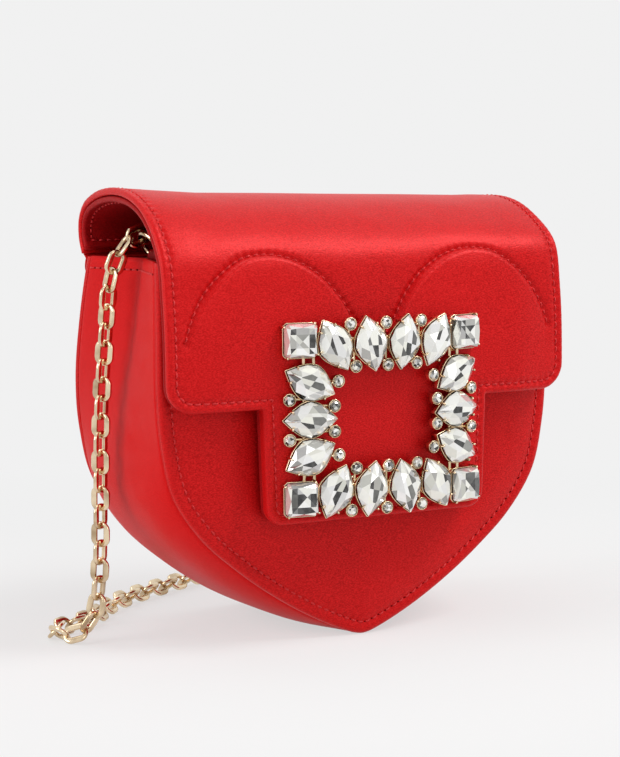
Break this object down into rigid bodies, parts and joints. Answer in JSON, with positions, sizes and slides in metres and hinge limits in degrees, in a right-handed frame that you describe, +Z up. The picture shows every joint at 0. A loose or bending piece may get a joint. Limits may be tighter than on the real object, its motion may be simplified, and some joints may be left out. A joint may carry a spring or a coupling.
{
  "type": "clutch bag",
  "caption": "Heart-outlined satin clutch with arched hinged flap, bowed jewelled buckle with an open window, folded gusset, lined body and a flat-link chain.",
  "frame": {"origin": "on the floor under the middle of the bag without its chain: the tip's lowest line", "axes": "+X to the viewer's right along the bag's width, -Y towards the buckle and the viewer, +Z up"},
  "size_m": [0.1909, 0.1496, 0.1572],
  "materials": {
    "satin": "duchess satin over padding, soft sheen",
    "lining_cloth": "matt woven lining",
    "pale_gold": "polished pale-gold plate",
    "magnet_steel": "nickel-plated disc",
    "crystal": "clear cut glass, foiled back"
  },
  "bodies": {
    "body": {"front_panel": "satin", "back_panel": "satin", "front_seam_welt": "satin", "back_seam_welt": "satin", "gusset": "satin", "left_tab": "satin", "right_tab": "satin", "lining": "lining_cloth", "left_ring": "pale_gold", "right_ring": "pale_gold", "chain_left_hang": "pale_gold", "chain_floor_heap": "pale_gold", "chain_floor_run": "pale_gold", "chain_floor_hank": "pale_gold", "chain_right_rise": "pale_gold", "body_magnet": "magnet_steel"},
    "flap": {"flap_shell": "satin", "flap_lining": "satin", "flap_magnet": "magnet_steel", "buckle_frame": "pale_gold", "corner_stone_1": "crystal", "corner_stone_2": "crystal", "corner_stone_3": "crystal", "corner_stone_4": "crystal", "top_stone_1": "crystal", "top_stone_2": "crystal", "top_stone_3": "crystal", "top_stone_4": "crystal", "bottom_stone_1": "crystal", "bottom_stone_2": "crystal", "bottom_stone_3": "crystal", "bottom_stone_4": "crystal", "left_stone_1": "crystal", "left_stone_2": "crystal", "left_stone_3": "crystal", "right_stone_1": "crystal", "right_stone_2": "crystal", "right_stone_3": "crystal"}
  },
  "joints": [
    {"name": "flap_hinge", "type": "hinge", "parent": "body", "child": "flap", "pos_m": [0, 0.03476, 0.134], "axis": [-1, 0, 0], "range_deg": [0, 130]}
  ]
}
